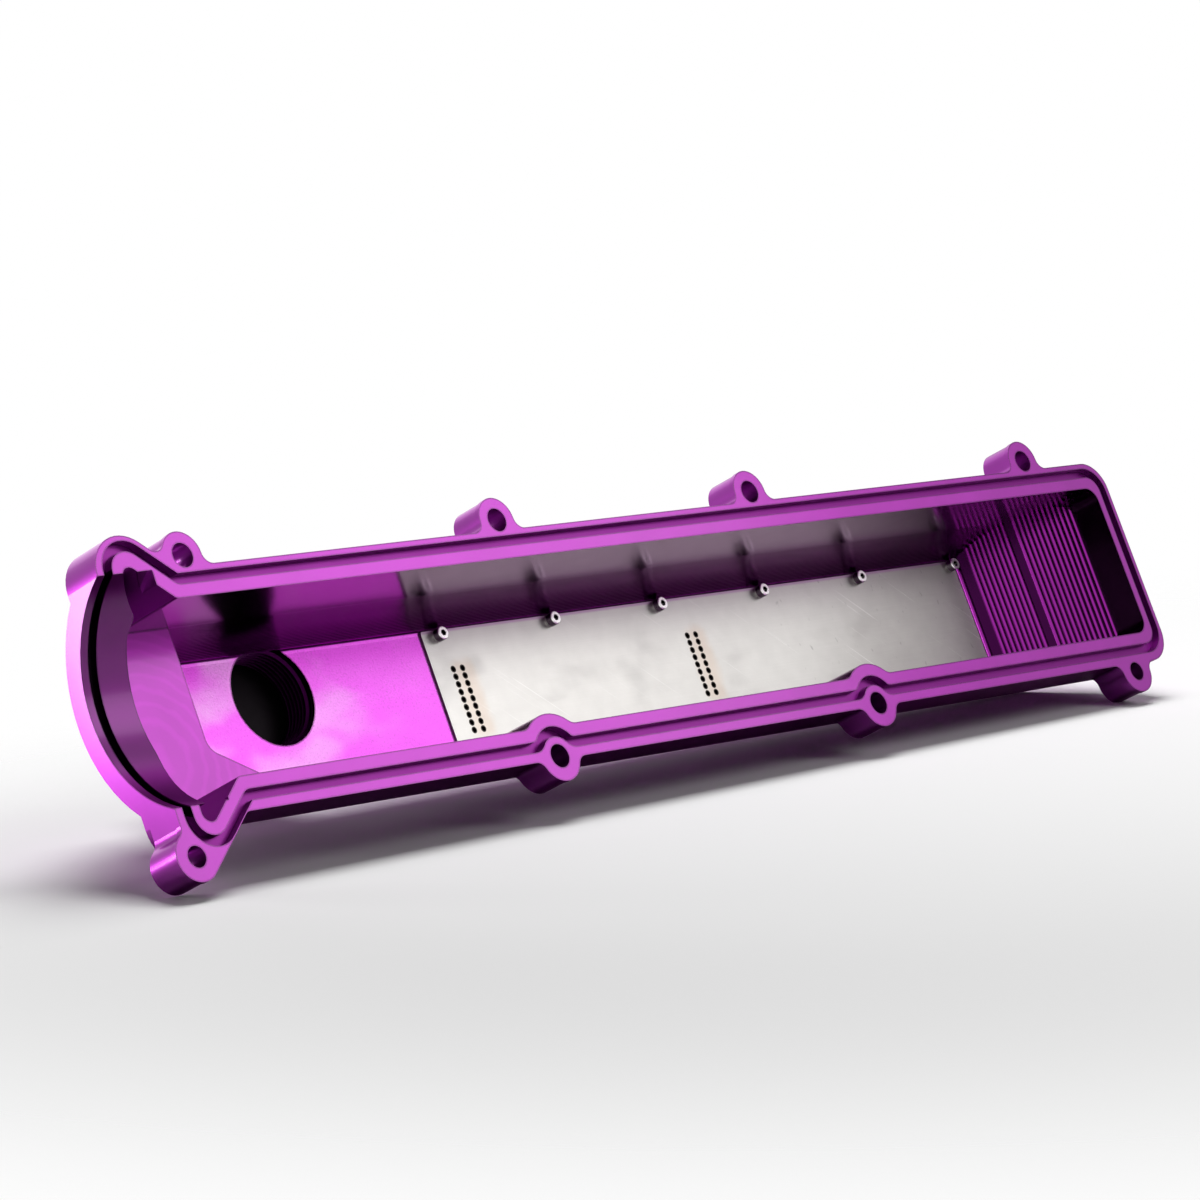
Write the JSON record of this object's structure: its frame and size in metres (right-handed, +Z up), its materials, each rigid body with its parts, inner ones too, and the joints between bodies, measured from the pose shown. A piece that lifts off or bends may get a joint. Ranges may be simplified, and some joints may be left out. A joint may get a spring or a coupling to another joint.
{
  "type": "engine valve cover",
  "caption": "Long billet cover for the top of a cylinder head, hollow inside, with a half-round arch at one end, a gasket groove, bolt ears, an oil filler cap and a baffle plate.",
  "frame": {"origin": "on the gasket face, under the middle of the cover's box", "axes": "+X along the cover to its plain rear end, +Y across it to the side with the two sunk ears, +Z up, away from the cylinder head"},
  "size_m": [0.6013, 0.1314, 0.0925],
  "materials": {
    "anodised_aluminium": "satin purple anodised over fine milling marks",
    "baffle_steel": "dull rolled sheet with heat tint at the drain holes",
    "screw_steel": "bright cap screws",
    "washer_steel": "dull spring steel",
    "black_anodised": "black anodised, turned, with milled finger scallops",
    "seal_rubber": "moulded black rubber"
  },
  "bodies": {
    "root": {"cover_body": "anodised_aluminium", "baffle_plate": "baffle_steel", "baffle_screws": "screw_steel", "lock_washers": "washer_steel", "filler_cap": "black_anodised", "filler_seal": "seal_rubber"}
  },
  "joints": []
}
